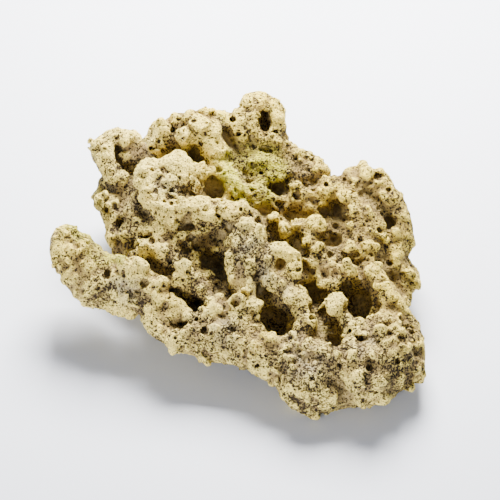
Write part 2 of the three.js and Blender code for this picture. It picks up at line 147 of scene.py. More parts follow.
# Knobs on the drawing, in millimetres: across, up, radius and how far it stands proud, if not 2.
KNOBS: list[Row] = [
    # Left arm.
    (-92, -18, 11, 3), (-137, -2, 9, 3), (-130, -12, 8, 2.5), (-150, -8, 9), (-141, -20, 9, 2.5),
    (-125, -30, 9, 2.5), (-117, -38, 9), (-106, -9, 5, 3), (-99, -13, 6), (-85, -14, 5), (-108, -26, 8),
    (-100, -38, 8, 2.5), (-88, -40, 7), (-78, -30, 7, 3), (-70, -28, 7, 3), (-150, 10, 7), (-143, 15, 6),
    # Cone.
    (-52, -12, 5, 3), (-46, -22, 7), (-38, -32, 6), (-57, -24, 6),
    # Saddle.
    (-84, 0, 7, 3), (-74, -2, 6, 3), (-66, -5, 5),
    # Front lip.
    (-72, -38, 7, 3), (-60, -46, 7, 3), (-50, -53, 6, 3), (-66, -55, 6), (-58, -66, 7, 2.5), (-48, -72, 7),
    (-35, -84, 6, 3), (-24, -38, 4, 4), (-30, -46, 7, 3), (-36, -50, 6, 3), (-18, -46, 6, 3), (-22, -56, 8),
    (-8, -58, 8, 2.5), (-12, -72, 8), (2, -78, 8), (-2, -33, 5, 4), (-6, -42, 6, 3), (3, -44, 6, 3),
    (4, -58, 7), (12, -72, 8, 2.5), (-28, -64, 7), (-45, -62, 5), (-80, -48, 6), (-72, -62, 6),
    (-60, -76, 6),
    # Lobe.
    (30, -76, 8, 3), (44, -76, 8, 3), (56, -80, 7, 3), (66, -84, 6), (24, -88, 8), (38, -92, 9),
    (52, -94, 8), (64, -98, 7), (30, -104, 7), (44, -112, 8), (58, -118, 8), (16, -90, 7), (36, -120, 6),
    (48, -125, 6), (66, -110, 6),
    # Right block.
    (80, -66, 7, 2.5), (92, -70, 7, 2.5), (104, -66, 7, 2.5), (106, -56, 6, 3), (115, -64, 7),
    (126, -62, 7, 3), (132, -74, 7), (130, -90, 8), (118, -78, 8), (98, -84, 8), (84, -84, 8),
    (84, -100, 8, 2.5), (100, -104, 8), (116, -100, 8), (88, -118, 7), (76, -110, 6), (104, -116, 6),
    (134, -98, 6), (122, -106, 6),
    # Column.
    (75, -55, 5), (68, -43, 7, 3),
    # Fold.
    (20, -28, 6), (32, -36, 6), (40, -46, 6), (46, -56, 6, 3), (40, -62, 5), (44, -68, 5),
    # Ring.
    (14, -8, 4), (22, 0, 4), (31, -4, 4), (34, -14, 5), (28, -22, 5), (17, -20, 4), (24, -27, 5),
    (35, -21, 5),
    # Winding ridge.
    (-62, 24, 6, 2.5), (-52, 34, 7, 3), (-38, 36, 7, 2.5), (-22, 34, 7, 2.5), (-8, 30, 7, 2.5),
    (-44, 27, 5), (-28, 26, 5), (-4, 18, 7), (2, 6, 7), (8, 12, 6), (14, 8, 5), (-10, 6, 6), (-12, -6, 6),
    (-14, -20, 6, 3), (2, -10, 6), (-2, -22, 6),
    # Crest.
    (-60, 68, 9, 3), (-52, 58, 7), (-66, 56, 7), (-84, 62, 6, 3), (-88, 54, 5), (-80, 48, 7, 3),
    (-74, 60, 6), (-84, 42, 5), (-70, 42, 6), (-62, 44, 6), (-78, 34, 6), (-66, 32, 6),
    # Back crest.
    (-52, 92, 6.5, 3.5), (-40, 100, 8, 3), (-30, 92, 7), (-60, 104, 6), (-48, 107, 6), (-35, 109, 6),
    (-72, 99, 7), (-80, 94, 6), (-66, 92, 5), (-26, 80, 6), (-30, 72, 6), (-40, 66, 6),
    # Fingers.
    (-124, 84, 7, 1.5), (-118, 76, 6), (-112, 66, 6), (-108, 92, 6), (-100, 90, 6), (-92, 84, 6),
    (-100, 76, 6), (-106, 58, 5), (-118, 40, 7), (-111, 36, 5), (-104, 28, 4, 3), (-98, 13, 6, 3),
    (-92, 30, 5), (-86, 24, 5), (-88, 10, 5),
    # Back half.
    (20, 26, 5, 3), (14, 20, 5), (28, 18, 5), (38, 20, 6, 3), (52, 20, 7, 4), (46, 8, 5, 3), (54, 0, 6, 3),
    (40, 2, 5), (30, 6, 4), (30, 34, 4), (48, 34, 5), (60, 44, 6), (68, 50, 6, 3), (76, 44, 5),
    (93, 60, 8, 3), (82, 57, 6, 3), (104, 52, 6), (110, 42, 6), (98, 42, 6), (84, 32, 6), (96, 26, 7),
    (84, 18, 6), (108, 30, 5), (118, 12, 6), (106, 8, 6), (94, 2, 6), (80, 0, 6), (110, -6, 6),
    (98, -16, 6), (84, -24, 5), (79, -15, 5.5, 4), (66, -14, 5), (58, -22, 5), (70, -26, 5),
    (104, -28, 6, 3), (112, -40, 6, 3), (126, -20, 6), (131, -28, 5), (124, -34, 6), (118, -20, 5),
    (36, 50, 5), (44, 58, 5), (32, 64, 5), (20, 72, 5), (52, 66, 5), (10, 86, 5), (22, 88, 5), (0, 80, 5),
    # Back edge.
    (28, 87, 4), (34, 83, 4), (40, 78, 4), (48, 75, 4), (55, 72, 4.5), (61, 66, 4),
    # Peak.
    (-1, 120, 6), (8, 124, 6, 1.5), (19, 118, 6), (23, 108, 5), (-6, 108, 6),
    # Plateau.
    (-8, 70, 5, 1.5), (4, 66, 6, 1.5), (12, 70, 6), (-6, 58, 5, 1.5), (8, 52, 5, 1.5), (-2, 46, 5, 1.5),
    (-14, 62, 5, 1.5),
]

# Pits: across, up, radius and depth, if not 4.
PITS: list[Row] = [
    # Peak.
    (12, 110, 3.2, 6), (12, 104, 3.6, 7), (11, 99, 3, 6),
    # Left arm.
    (-114, -21, 2.2, 8), (-114, -18, 2, 7), (-84, -26, 2.5, 5), (-97, -6, 3),
    # Hollow behind the arm.
    (-68, -20, 2.4, 8), (-63, -10, 2.2, 7), (-78, 8, 3, 8), (-94, -1, 4, 6),
    # Front lip.
    (-66, -45, 3, 6), (-62, -58, 3, 7), (-56, -59, 3, 8), (-51, -59, 2.5, 6), (-44, -57, 3.5, 7),
    (-40, -60, 3.5, 8), (-36, -63, 2.5, 5), (-22, -52, 2), (-14, -62, 2), (-4, -80, 2), (-58, -36, 2),
    (-90, -33, 2),
    # Under the winding ridge.
    (-52, 18, 2.6, 7), (-48, 18, 2.4, 7), (-56, 17, 2, 5), (-32, 20, 2.5, 6), (-37, 20, 2), (-47, 9, 3, 5),
    (-38, 8, 3.5, 5), (-28, 9, 3, 6), (-50, 0, 3, 6), (-44, 3, 3, 5),
    # Winding ridge.
    (-20, 22, 2, 6), (-17, 18, 2.4, 7), (-22, 17, 2, 6), (-25, 27, 1.8, 5), (-51, 28, 1.8, 5),
    (-13, 21, 1.8, 5), (-42, 32, 1.6, 3),
    # Crest.
    (-47, 45, 2.2, 7), (-44, 44, 2, 6), (-30, 43, 3, 5), (-28, 39, 2.6, 6), (-26, 65, 2.2, 6), (-63, 37, 2),
    # Back crest.
    (-48, 77, 3.6), (-45, 75, 3, 5), (-39, 73, 2), (-75, 83, 2.2, 5), (-70, 81, 2), (-79, 82, 2),
    (-74, 88, 1.8, 3), (-62, 97, 2),
    # Saddle.
    (-9, 94, 2, 7), (0, 91, 2.4, 7), (13, 81, 2, 6), (16, 80, 1.8, 5), (10, 82, 1.8), (-14, 106, 2, 5),
    (3, 84, 1.8), (20, 96, 2),
    # Plateau.
    (3, 54, 2.2, 6), (0, 54, 1.8, 5), (9, 62, 2.2, 7), (2, 68, 2, 5), (-12, 48, 2, 5), (-4, 62, 1.8),
    (24, 50, 6, 9), (20, 51, 4.5, 6),
    # Back half.
    (37, 43, 2.8), (52, 39, 2.4), (40, 27, 4.4, 5), (38, 25, 3, 7), (20, 31, 3, 5), (24, 36, 3, 5),
    (8, 24, 2.5, 5), (26, 26, 2.5, 6), (62, 53, 2, 6), (37, 74, 2.4, 6), (70, 33, 3.2, 8), (60, 31, 3.4, 6),
    (68, 18, 2.6, 7), (67, 9, 3, 9), (69, 3, 2.4, 7), (78, 26, 2.6), (104, 59, 2.8, 7), (76, 57, 2.8),
    (110, 24, 3.4), (112, 48, 1.8), (98, 46, 1.8), (100, 35, 1.8), (46, 52, 2), (30, 56, 2),
    (63, -3, 2.4, 6), (45, -4, 2.2, 5), (85, -4, 2), (97, -4, 2), (111, -11, 2.2, 5), (50, -17, 2.4),
    (60, -20, 2.2), (88, 8, 2), (104, 16, 1.8), (90, 44, 2),
    # Front.
    (24, -12, 3.6, 8), (38, -16, 2, 5), (88, -71, 2.6, 7), (79, -64, 1.8), (84, -58, 1.8, 3),
    (100, -72, 1.8, 3), (110, -66, 1.8, 3), (128, -66, 2, 3), (28, -70, 3, 8), (32, -68, 2, 5),
    (57, -48, 3, 5), (60, -60, 3, 6), (94, -92, 2), (48, -100, 2), (70, -90, 2.4, 5), (116, -88, 2),
    (40, -84, 2, 3),
]

# Bores, which widen the caves' mouths: across, up, radius and depth.
BORES: list[Row] = [
    (-24, -12, 4, 10), (-20, -24, 4, 8), (-16, -34, 4, 9), (-11, -40, 3, 6), (-47, -37, 4, 8),
    (-44, -43, 4, 10), (-41, -48, 3, 6), (23, -66, 3.5, 6), (20, -62, 5, 8), (50, -40, 4, 9),
    (56, -31, 4, 8), (47, -30, 4, 8), (80, -34, 5, 10), (92, -52, 5, 10), (76, -30, 4, 8), (69, -75, 4, 9),
    (64, -71, 4, 6),
]

# Stained, bleached and overgrown patches, among them painted light and painted shade: across, up, reach
# along the surface, and strength, if not 1.
PATCHES: dict[Mask, list[Row]] = {
    Mask.ALGAE: [
        (-4, 64, 40), (12, 66, 32), (-10, 50, 30), (2, 42, 26, 0.9), (-130, 10, 24), (-118, -2, 22),
        (-144, 20, 14, 0.7), (-104, -4, 14, 0.7), (-12, 70, 22), (-14, 58, 20), (8, 54, 26), (6, 42, 22),
        (24, 58, 20, 0.6), (60, -62, 14, 0.35), (-22, 108, 14, 0.4), (-122, 40, 12, 0.3),
    ],
    Mask.ASH: [
        (-100, -30, 20), (-66, 50, 18, 0.7), (0, 2, 24, 0.9), (12, -22, 20), (26, -34, 16, 0.9),
        (-20, -62, 20, 0.9), (44, -90, 24), (90, -74, 22, 0.6), (-78, 92, 16, 0.6), (-90, 36, 14, 0.4),
        (30, -70, 16, 0.6), (-46, -52, 14, 0.4),
    ],
    Mask.BLEACH: [
        (-72, 98, 14, 0.7), (-30, 98, 14, 0.8), (-60, 66, 20), (-82, 56, 18), (-51, 92, 14),
        (-38, 100, 18, 0.8), (-40, 36, 22), (-14, 34, 20), (-80, 0, 16), (-96, -18, 18), (68, -43, 14),
        (79, -15, 9), (28, -2, 14, 0.8), (-52, -14, 12, 0.7), (94, 62, 12, 0.7), (54, 20, 12, 0.5),
        (54, 2, 10, 0.5), (102, -58, 16, 0.5), (-150, 2, 18, 0.5), (-64, 28, 16, 0.8), (-74, -34, 14, 0.6),
        (0, 122, 14, 0.5), (74, 50, 12, 0.5), (-120, 82, 14, 0.4), (84, -64, 14, 0.5), (-28, -46, 14, 0.5),
        # The broad patches below lighten whole regions that the lamps leave darker: painted light over the
        # bleach.
        (-66, 40, 46), (-60, 76, 44), (-30, 70, 40), (104, 0, 36, 0.6), (-20, 100, 40, 0.7),
        (10, 112, 30, 0.5), (20, 8, 26, 0.8), (-100, -46, 36, 0.6), (-60, 92, 34, 0.8), (-10, 52, 36, 0.6),
        (-32, 90, 30), (-36, 54, 24), (-56, 22, 24), (64, 36, 16), (38, 8, 18, 0.9), (12, -32, 22, 0.9),
        (-58, -32, 18, 0.8), (106, 4, 20, 0.8), (128, -24, 22, 0.9), (90, -34, 18, 0.6), (-116, 50, 20),
    ],
    Mask.RUST: [
        (8, 28, 22), (30, 28, 26), (66, 26, 24, 0.9), (76, 58, 14), (-92, 74, 22), (-96, 58, 18, 0.7),
        (-42, -36, 18), (-36, 4, 22, 0.9), (90, -32, 22, 0.9), (106, 30, 34, 0.7), (96, 0, 30, 0.6),
        (44, 62, 26, 0.6), (110, -20, 24, 0.7), (60, -60, 16, 0.7), (-106, 18, 16, 0.8), (14, -72, 14, 0.5),
        (130, -30, 14, 0.5), (50, -8, 14, 0.4), (130, -86, 22, 0.5), (9, 121, 18, 0.8), (-126, 0, 22),
        # The rows of strength over 1 are painted shade: by the fingers, behind the arm, and on the boulder
        # in the main cave and beside it.
        (2, 56, 16), (6, 38, 18), (-84, 78, 18, 1.6), (-102, 34, 20, 1.6), (-98, -4, 16, 1.8),
        (-34, -26, 17, 2.4), (-26, -38, 12, 1.6), (16, -68, 18, 0.8), (64, -76, 20, 0.6),
        (106, -102, 22, 0.8), (76, 62, 20, 0.8), (60, -16, 16, 0.8), (-44, -60, 20, 0.6),
    ],
    Mask.FILM: [
        (0, 66, 90), (60, 40, 90), (110, 10, 90), (-20, 104, 60, 0.7), (130, -70, 60, 0.6),
        (-136, 4, 44, 0.7), (14, 118, 44), (-30, 110, 44), (-66, 108, 38, 0.9), (88, 20, 60), (110, 50, 50),
        (112, -30, 50), (36, -16, 34, 0.7), (12, -68, 24, 0.7), (-62, -36, 26, 0.6),
    ],
}


# ---------------- level set


def mesh_points(mesh: bpy.types.Mesh) -> np.ndarray:
    """Reads the points of a mesh.

    Args:
        mesh: The mesh.

    Returns:
        Its points in metres, one in each row.
    """
    points = np.empty(len(mesh.vertices) * 3, np.float32)
    mesh.vertices.foreach_get("co", points)
    return points.reshape(-1, 3)


@dataclass
class LevelSet:
    """The stone's signed distance on a regular grid, in millimetres.

    Attributes:
        spacing: Distance between grid points.
        margin: Free space kept around the stone.
        band: Distance beyond which the field stays flat.
        low: The grid's lowest corner.
        values: The field, which is negative inside the stone.
        crumple: Noise that makes the tools uneven.
        unbored: The field as it was before the pits and bores.
    """

    spacing: float = 1.2
    margin: float = 8.0
    band: float = 12.0
    low: np.ndarray = field(init=False)
    values: np.ndarray = field(init=False)
    crumple: np.ndarray = field(init=False)
    unbored: np.ndarray = field(init=False)

    def load(self, mesh: bpy.types.Mesh) -> None:
        """Fills the grid from a closed mesh in metres.

        Args:
            mesh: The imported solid's mesh, which is only read.
        """
        points = mesh_points(mesh) / MM
        mesh.calc_loop_triangles()
        triangles = np.empty(len(mesh.loop_triangles) * 3, np.int32)
        mesh.loop_triangles.foreach_get("vertices", triangles)
        self.low = points.min(axis=0) - self.margin
        size = np.ceil((points.max(axis=0) + self.margin - self.low) / self.spacing).astype(int) + 1
        cells = self.band / self.spacing
        grid = openvdb.FloatGrid.createLevelSetFromPolygons(
            (points - self.low) / self.spacing,
            triangles=triangles.reshape(-1, 3).astype(np.uint32),
            exBandWidth=cells,
            inBandWidth=cells,
        )
        self.values = np.empty(size, np.float32)
        grid.copyToArray(self.values)
        self.values *= self.spacing
        self.crumple = np.clip(self.noise((0.6, 1.6, 11), (0.8, 4.0, 12)), -2.0, 2.0)
        log.info("level set of %s points", "x".join(str(n) for n in size))

    @property
    def layers(self) -> np.ndarray:
        """Height of each of the grid's layers over the floor."""
        return self.low[2] + self.spacing * np.arange(self.values.shape[2])

    def blur(self, field_values: np.ndarray, reach: float, passes: int = 2) -> np.ndarray:
        """Averages a field over a cube, more than once for a rounder kernel.

        Args:
            field_values: The field, on this grid.
            reach: Half the cube's edge, in millimetres.
            passes: How many times it is averaged.

        Returns:
            The blurred field.
        """
        half = max(1, round(reach / self.spacing))
        out = field_values.astype(np.float32)
        for _ in range(passes):
            for axis in range(3):
                pad = [(0, 0)] * 3
                pad[axis] = (half + 1, half)
                total = np.cumsum(np.pad(out, pad, mode="edge"), axis=axis, dtype=np.float64)
                n = out.shape[axis]
                upper = np.take(total, range(2 * half + 1, 2 * half + 1 + n), axis=axis)
                lower = np.take(total, range(n), axis=axis)
                out = ((upper - lower) / (2 * half + 1)).astype(np.float32)
        return out

    def noise(self, *swells: tuple[float, float, int]) -> np.ndarray:
        """Makes a smooth random field.

        Args:
            *swells: Each kind's height, about half of its width in millimetres, and its seed.

        Returns:
            The field, of mean 0.
        """
        total = np.float32(0.0)
        for height, reach, seed in swells:
            rng = np.random.default_rng(seed)
            raw = self.blur(rng.standard_normal(self.values.shape, dtype=np.float32), reach)
            total = total + height * ((raw - raw.mean()) / raw.std())
        return total

    def sharpen(self, reach: float, share: float, lift: float, still: float, full: float) -> None:
        """Deepens the hollows and lifts the ridges a little, all but near the floor.

        Args:
            reach: Half the width of the forms that change, in millimetres.
            share: How much of a hollow's depth is added.
            lift: The most that a ridge is lifted, in millimetres.
            still: Height below which nothing changes.
            full: Height from which it changes in full.
        """
        above = np.clip((self.layers - still) / (full - still), 0.0, 1.0).astype(np.float32)
        self.values -= above * np.minimum(share * self.blur(self.values, reach), lift)

    def sample(self, field_values: np.ndarray, points: np.ndarray) -> np.ndarray:
        """Reads a field between the grid's points.

        Args:
            field_values: The field, on this grid.
            points: Points in millimetres, one in each row.

        Returns:
            One value for each point.
        """
        place = (points - self.low) / self.spacing
        top = np.array(field_values.shape) - 2
        base = np.clip(np.floor(place).astype(int), 0, top)
        t = np.clip(place - base, 0.0, 1.0)
        result = np.zeros(len(points))
        for corner in range(8):
            step = np.array([corner & 1, corner >> 1 & 1, corner >> 2])
            weight = np.prod(np.where(step == 1, t, 1.0 - t), axis=1)
            i, j, k = (base + step).T
            result += weight * field_values[i, j, k]
        return result

    def first_hit(self, drawing: Drawing, across: float, up: float) -> np.ndarray | None:
        """Finds where the drawing's line of sight first meets the stone.

        Args:
            drawing: The drawing.
            across: Place on the drawing.
            up: Place on the drawing.

        Returns:
            The point in millimetres, or None where the line misses the stone.
        """
        line = drawing.line(across, up)
        inside = np.nonzero(self.sample(self.values, line) < 0.0)[0]
        return line[inside[0]] if len(inside) else None

    def stick(
        self, a: np.ndarray, b: np.ndarray, radius: float, fillet: float, cut: bool = False
    ) -> None:
        """Joins an uneven, round-ended stick to the stone, or cuts it out.

        Args:
            a: One end of its middle line, in millimetres.
            b: The other end.
            radius: Its radius.
            fillet: Reach of the rounding where it meets the surface.
            cut: Whether it is cut out.
        """
        uneven, side = (0.4, -1.0) if cut else (0.25, 1.0)
        reach = (1.0 + 2.0 * uneven) * radius + fillet + self.spacing
        first = np.floor((np.minimum(a, b) - reach - self.low) / self.spacing).astype(int)
        last = np.ceil((np.maximum(a, b) + reach - self.low) / self.spacing).astype(int) + 1
        first, last = np.maximum(first, 0), np.minimum(last, self.values.shape)
        if (last <= first).any():
            return
        axes = [self.low[i] + self.spacing * np.arange(first[i], last[i]) for i in range(3)]
        points = np.stack(np.meshgrid(*axes, indexing="ij"), axis=-1)
        slices = tuple(map(slice, first, last))
        way = b - a
        along = np.clip(((points - a) @ way) / max(float(way @ way), 1e-6), 0.0, 1.0)
        gap = np.linalg.norm(points - a - along[..., None] * way, axis=-1)
        tool = (gap - radius).astype(np.float32) + uneven * radius * self.crumple[slices]
        here = side * self.values[slices]
        near = np.maximum(fillet - np.abs(here - tool), 0.0) / fillet
        self.values[slices] = side * (np.minimum(here, tool) - near * near * fillet / 4.0)

    def mesh(self, name: str) -> bpy.types.Mesh:
        """Makes a mesh of the stone's surface.

        Args:
            name: The mesh's name.

        Returns:
            The mesh, in metres.
        """
        grid = openvdb.FloatGrid(self.band)
        grid.copyFromArray(self.values)
        points, quads = grid.convertToQuads(0.0)
        mesh = bpy.data.meshes.new(name)
        mesh.from_pydata((points * self.spacing + self.low) * MM, [], quads)
        mesh.update()
        log.info("%s: %d quads", name, len(quads))
        return mesh


# ---------------- sculptor


@dataclass
class Sculptor:
    """Shapes the rock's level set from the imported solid. Lengths are in millimetres.

    Attributes:
        drawing: The drawing that places are given on.
        wear: Reach of the blur that wears the solid's facets away.
        wall: Stone that is left behind a pit.
        sole: Height at which the feet are cut flat.
        seed: Fixes the scatter.
        nodules: How many small knobs are scattered.
        nodule_radius: Their least and largest radius.
        nodule_sink: How deep their middles lie, as shares of the radius.
        bores: How many small bores are tried.
        bore_radius: Their least radius, and how much larger the largest is.
        bore_rarity: Power that makes the large ones rare.
        bore_slant: How far they lean to the side.
        bore_depth: Least and greatest depth beyond the radius.
        swarm: About half the width of their swarms.
        stray: How freely they stray from the swarms.
        stone: The level set.
    """

    drawing: Drawing
    wear: float = 1.3
    wall: float = 5.0
    sole: float = 0.15
    seed: int = 7
    nodules: int = 480
    nodule_radius: tuple[float, float] = (2.0, 6.0)
    nodule_sink: tuple[float, float] = (0.7, 0.95)
    bores: int = 1300
    bore_radius: tuple[float, float] = (0.7, 1.0)
    bore_rarity: float = 2.5
    bore_slant: float = 3.0
    bore_depth: tuple[float, float] = (0.3, 2.0)
    swarm: float = 7.0
    stray: float = 0.8
    stone: LevelSet = field(default_factory=LevelSet)

    def shape(self, solid: bpy.types.Object) -> LevelSet:
        """Wears the solid's facets and adds every named knob, pit and bore.

        Args:
            solid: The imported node, which is only read.

        Returns:
            The finished level set.
        """
        stone = self.stone
        stone.load(solid.data)
        stone.values = stone.blur(stone.values, self.wear)
        stone.sharpen(reach=9.0, share=0.5, lift=0.8, still=14.0, full=30.0)
        stone.values += stone.noise((0.7, 4.5, 21), (0.35, 1.3, 22))
        for row in KNOBS:
            self._knob(*row)
        self._scatter_nodules()
        stone.unbored = stone.values.copy()
        for row in PITS:
            self._pit(*row)
        for row in BORES:
            self._pit(*row, fillet=2.0)
        self._scatter_bores()
        flat = (self.sole - stone.layers)[None, None, :].astype(np.float32)
        stone.values = np.maximum(stone.values, flat)
        return stone

    def _knob(self, across: float, up: float, radius: float, proud: float = 2.0) -> None:
        """Adds a knob that stands proud of the surface by the given height."""
        hit = self.stone.first_hit(self.drawing, across, up)
        if hit is not None:
            centre = hit + self.drawing.sight * (radius - proud)
            self.stone.stick(centre, centre, radius, fillet=1.5)

    def _pit(
        self, across: float, up: float, radius: float, depth: float = 4.0, fillet: float = 1.0
    ) -> None:
        """Bores into the surface along the line of sight, but never right through the stone."""
        hit = self.stone.first_hit(self.drawing, across, up)
        if hit is not None:
            sight = self.drawing.sight
            deeper = hit + sight * np.arange(1.0, depth + radius + self.wall, 1.0)[:, None]
            outside = np.nonzero(self.stone.sample(self.stone.values, deeper) > 0.0)[0]
            room = (outside[0] if len(outside) else len(deeper)) - self.wall
            end = hit + sight * (min(depth, max(room, 0.0)) - radius)
            self.stone.stick(hit - sight * radius, end, radius, fillet, cut=True)

    def _surface_points(self, count: int, rng: np.random.Generator) -> tuple[np.ndarray, np.ndarray]:
        """Picks points on the surface and their outward normals."""
        stone = self.stone
        shell = np.argwhere(np.abs(stone.values) < 0.6 * stone.spacing)
        picked = shell[rng.choice(len(shell), size=min(count, len(shell)), replace=False)]
        points = stone.low + stone.spacing * picked
        normals = np.empty_like(points)
        for axis in range(3):
            step = np.zeros(3)
            step[axis] = 2.0 * stone.spacing
            after = stone.sample(stone.values, points + step)
            normals[:, axis] = after - stone.sample(stone.values, points - step)
        normals /= np.linalg.norm(normals, axis=1, keepdims=True) + 1e-9
        return points, normals

    def _scatter_nodules(self) -> None:
        """Scatters small rounded knobs over the whole surface."""
        rng = np.random.default_rng(self.seed)
        points, normals = self._surface_points(self.nodules, rng)
        for point, normal in zip(points, normals):
            radius = rng.uniform(*self.nodule_radius)
            centre = point - normal * radius * rng.uniform(*self.nodule_sink)
            self.stone.stick(centre, centre, radius, fillet=1.2)

    def _scatter_bores(self) -> None:
        """Scatters small bores, as worms and mussels leave them, in swarms over the surface."""
        rng = np.random.default_rng(self.seed + 1)
        points, normals = self._surface_points(self.bores, rng)
        crowd = self.stone.sample(self.stone.noise((1.0, self.swarm, 31)), points)
        least, spread = self.bore_radius
        for point, normal, here in zip(points, normals, crowd):
            if here < self.stray * rng.normal():
                continue
            radius = least + spread * rng.random() ** self.bore_rarity
            aside = np.cross(normal, rng.normal(size=3)) * rng.uniform(0.0, self.bore_slant)
            depth = radius + rng.uniform(*self.bore_depth)
            end = point - aside - normal * depth
            self.stone.stick(point + 0.3 * aside, end, radius, fillet=0.5, cut=True)


# ---------------- nodes


@dataclass(frozen=True)
class Graph:
    """A thin wrapper that adds nodes to a node tree and links them.

    Attributes:
        tree: The tree to build in.
    """

    tree: bpy.types.NodeTree

    def add(self, kind: str, inputs: dict | None = None, **settings) -> bpy.types.Node:
        """Adds a node.

        Args:
            kind: The node's type name.
            inputs: Values or sockets for its inputs, by name or number.
            **settings: Properties of the node.

        Returns:
            The new node.
        """
        node = self.tree.nodes.new(kind)
        for key, value in settings.items():
            setattr(node, key, value)
        for key, value in (inputs or {}).items():
            self.feed(node.inputs[key], value)
        return node

    def feed(self, socket: Socket, value: Socket | float | Row) -> None:
        """Links a socket to an input, or sets the input's value.

        Args:
            socket: The input.
            value: An output socket, or a plain value.
        """
        if isinstance(value, Socket):
            self.tree.links.new(value, socket)
        else:
            socket.default_value = value

    def math(self, operation: str, *values: Socket | float) -> Socket:
        """Adds a Math node.

        Args:
            operation: The operation's name.
            *values: Sockets or numbers.

        Returns:
            Its output.
        """
        return self.add("ShaderNodeMath", dict(enumerate(values)), operation=operation).outputs[0]

    plus = partialmethod(math, "ADD")
    minus = partialmethod(math, "SUBTRACT")
    times = partialmethod(math, "MULTIPLY")
    times_plus = partialmethod(math, "MULTIPLY_ADD")
    over = partialmethod(math, "DIVIDE")
    most = partialmethod(math, "MAXIMUM")

    def ramp(
        self, value: Socket, low: float, high: float, to_low: float = 0.0, to_high: float = 1.0
    ) -> Socket:
        """Maps a value smoothly from one range to another.

        Args:
            value: The socket to map.
            low: Start of its range.
            high: End of its range.
            to_low: Result at the start.
            to_high: Result at the end.

        Returns:
            The result.
        """
        sides = {"Value": value, "From Min": low, "From Max": high, "To Min": to_low, "To Max": to_high}
        return self.add("ShaderNodeMapRange", sides, interpolation_type="SMOOTHSTEP").outputs["Result"]

    def vector(self, operation: str, a: Socket, b: Socket | Row) -> Socket:
        """Adds a Vector Math node of two vectors, whose result is a vector.

        Args:
            operation: The operation's name.
            a: The first vector.
            b: The second.

        Returns:
            The result.
        """
        return self.add("ShaderNodeVectorMath", {0: a, 1: b}, operation=operation).outputs[0]

    def bent(self, place: Socket, scale: Socket | float, push: Socket | Row) -> Socket:
        """Shifts places by noise, so that a pattern made there isn't regular.

        Args:
            place: The places.
            scale: Scale of the noise.
            push: How far they are shifted on each axis for a noise of 1.

        Returns:
            The shifted places.
        """
        noise = self.add("ShaderNodeTexNoise", {"Vector": place, "Scale": scale, "Detail": 2.0})
        centred = self.vector("SUBTRACT", noise.outputs["Color"], (0.5, 0.5, 0.5))
        return self.vector("ADD", place, self.vector("MULTIPLY", centred, push))

    def cells(self, place: Socket, scale: Socket) -> tuple[Socket, Socket, Socket]:
        """Adds a pattern of cells.

        Args:
            place: The places.
            scale: How many cells fit in a metre.

        Returns:
            The distance to the cell's point, and two random values of the cell.
        """
        cells = self.add("ShaderNodeTexVoronoi", {"Vector": place, "Scale": scale})
        family = "FunctionNode" if self.tree.type == "GEOMETRY" else "ShaderNode"
        random = self.add(family + "SeparateColor", {0: cells.outputs["Color"]})
        return cells.outputs["Distance"], random.outputs[0], random.outputs[1]

    def mix(self, share: Socket, a: Socket | Color, b: Socket | Color) -> Socket:
        """Mixes two colours.

        Args:
            share: Share of the second colour.
            a: The first colour.
            b: The second colour.

        Returns:
            The mixed colour.
        """
        inputs = {0: share, 6: a, 7: b}
        return self.add("ShaderNodeMix", inputs, data_type="RGBA", clamp_factor=True).outputs[2]


@dataclass(frozen=True)
class Relief:
    """Sizes of the weathered relief, in metres, as the tree's named inputs."""

    swell_height: float = 0.0009
    swell_spacing: float = 0.012
    nodule_height: float = 0.0005
    nodule_spacing: float = 0.006
    pit_depth: float = 0.0018
    pit_spacing: float = 0.0046
    pit_share: float = 0.45
    grain_height: float = 0.0009
    seed: float = 3.0


